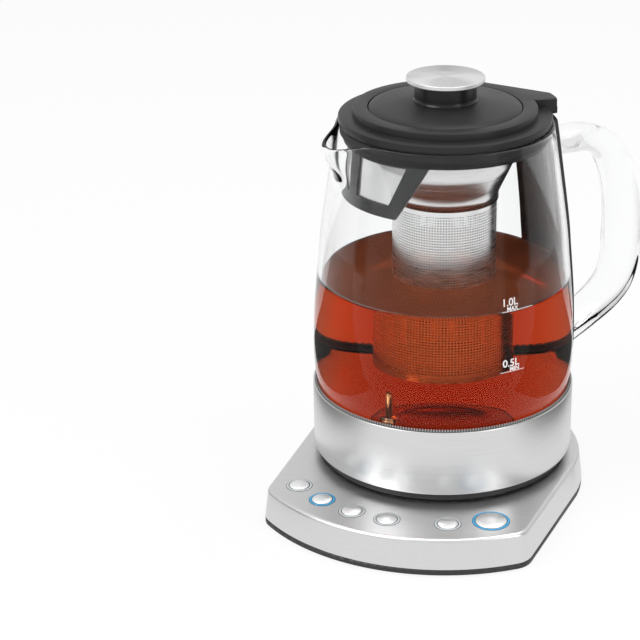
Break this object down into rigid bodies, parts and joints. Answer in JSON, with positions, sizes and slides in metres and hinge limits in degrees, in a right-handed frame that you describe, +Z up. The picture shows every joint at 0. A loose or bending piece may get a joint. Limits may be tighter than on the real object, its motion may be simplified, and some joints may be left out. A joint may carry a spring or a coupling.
{
  "type": "automatic tea maker",
  "caption": "Glass kettle with lift-out infuser, clear handle and pouring lip, standing on a steel powered base with a front row of ring-lit push buttons.",
  "frame": {"origin": "on the kettle's turning axis, at the table that the four feet stand on (the stated mount lies on the pan's underside, 1 mm higher)", "axes": "+Z up; -Y is the base's front with the buttons; +X is to the right as seen from the front"},
  "size_m": [0.168, 0.204, 0.2334],
  "materials": {
    "steel_shell": "satin brushed",
    "steel_bright": "spun",
    "steel_sieve": "fine perforated",
    "black_plastic": "matte",
    "black_gloss": "satin",
    "lid_grey": "satin",
    "button_steel": "satin",
    "light_on": "lit blue",
    "light_off": "translucent, unlit",
    "clear_glass": "clear",
    "black_rubber": "matte",
    "contact_brass": "plated",
    "board_green": "solder mask",
    "part_grey": "moulded"
  },
  "bodies": {
    "base": {"base_cover": "steel_shell", "base_pan": "black_plastic", "rubber_feet": "black_rubber", "seat_dish": "black_gloss", "connector_plug": "black_plastic", "contact_rings": "contact_brass", "control_board": "board_green", "tact_switches": "part_grey", "power_board": "board_green", "relay": "part_grey", "radio_module": "steel_bright", "light_rings_lit": "light_on", "light_rings_dark": "light_off", "pan_screws": "steel_bright", "cord_grommet": "black_rubber"},
    "socket": {"connector_socket": "black_plastic"},
    "jug": {"jug_ring": "black_plastic", "jug_bottom": "black_plastic", "steel_band": "steel_shell", "heating_plate": "steel_bright", "heating_element": "steel_bright", "thermal_cutout": "part_grey", "glass_seal": "black_rubber", "glass_body": "clear_glass", "glass_handle": "clear_glass", "handle_spine": "black_gloss", "temperature_sensor": "steel_bright", "sensor_nut": "steel_bright"},
    "lid": {"lid_ring": "lid_grey", "lid_seal": "black_rubber", "filter_frame": "black_plastic", "filter_mesh": "steel_sieve"},
    "basket": {"basket_funnel": "steel_bright", "basket_sieve": "steel_sieve", "basket_floor": "steel_sieve"},
    "infuser_lid": {"lid_disc": "lid_grey", "knob_neck": "black_gloss", "knob_cap": "steel_bright", "knob_screw": "steel_bright"},
    "key_1": {"button_1": "button_steel"},
    "key_2": {"button_2": "button_steel"},
    "key_3": {"button_3": "button_steel"},
    "key_4": {"button_4": "button_steel"},
    "key_5": {"button_5": "button_steel"},
    "key_6": {"button_6": "button_steel"}
  },
  "joints": [
    {"name": "jug_lift", "type": "slide", "parent": "base", "child": "socket", "axis": [0, 0, 1], "range_m": [0, 0.06]},
    {"name": "jug_spin", "type": "hinge", "parent": "socket", "child": "jug", "pos_m": [0, 0, 0.024], "axis": [0, 0, 1], "continuous": true},
    {"name": "lid_lift", "type": "slide", "parent": "jug", "child": "lid", "axis": [0, 0, 1], "range_m": [0, 0.14]},
    {"name": "basket_lift", "type": "slide", "parent": "lid", "child": "basket", "axis": [0, 0, 1], "range_m": [0, 0.14]},
    {"name": "infuser_lid_lift", "type": "slide", "parent": "basket", "child": "infuser_lid", "axis": [0, 0, 1], "range_m": [0, 0.04]},
    {"name": "button_1_press", "type": "slide", "parent": "base", "child": "key_1", "axis": [0, 0, -1], "range_m": [0, 0.0008], "stiffness_N_per_m": 400, "springref_m": -0.0005},
    {"name": "button_2_press", "type": "slide", "parent": "base", "child": "key_2", "axis": [0, 0, -1], "range_m": [0, 0.0008], "stiffness_N_per_m": 400, "springref_m": -0.0005},
    {"name": "button_3_press", "type": "slide", "parent": "base", "child": "key_3", "axis": [0, 0, -1], "range_m": [0, 0.0008], "stiffness_N_per_m": 400, "springref_m": -0.0005},
    {"name": "button_4_press", "type": "slide", "parent": "base", "child": "key_4", "axis": [0, 0, -1], "range_m": [0, 0.0008], "stiffness_N_per_m": 400, "springref_m": -0.0005},
    {"name": "button_5_press", "type": "slide", "parent": "base", "child": "key_5", "axis": [0, 0, -1], "range_m": [0, 0.0008], "stiffness_N_per_m": 400, "springref_m": -0.0005},
    {"name": "button_6_press", "type": "slide", "parent": "base", "child": "key_6", "axis": [0, 0, -1], "range_m": [0, 0.0008], "stiffness_N_per_m": 400, "springref_m": -0.0005}
  ]
}
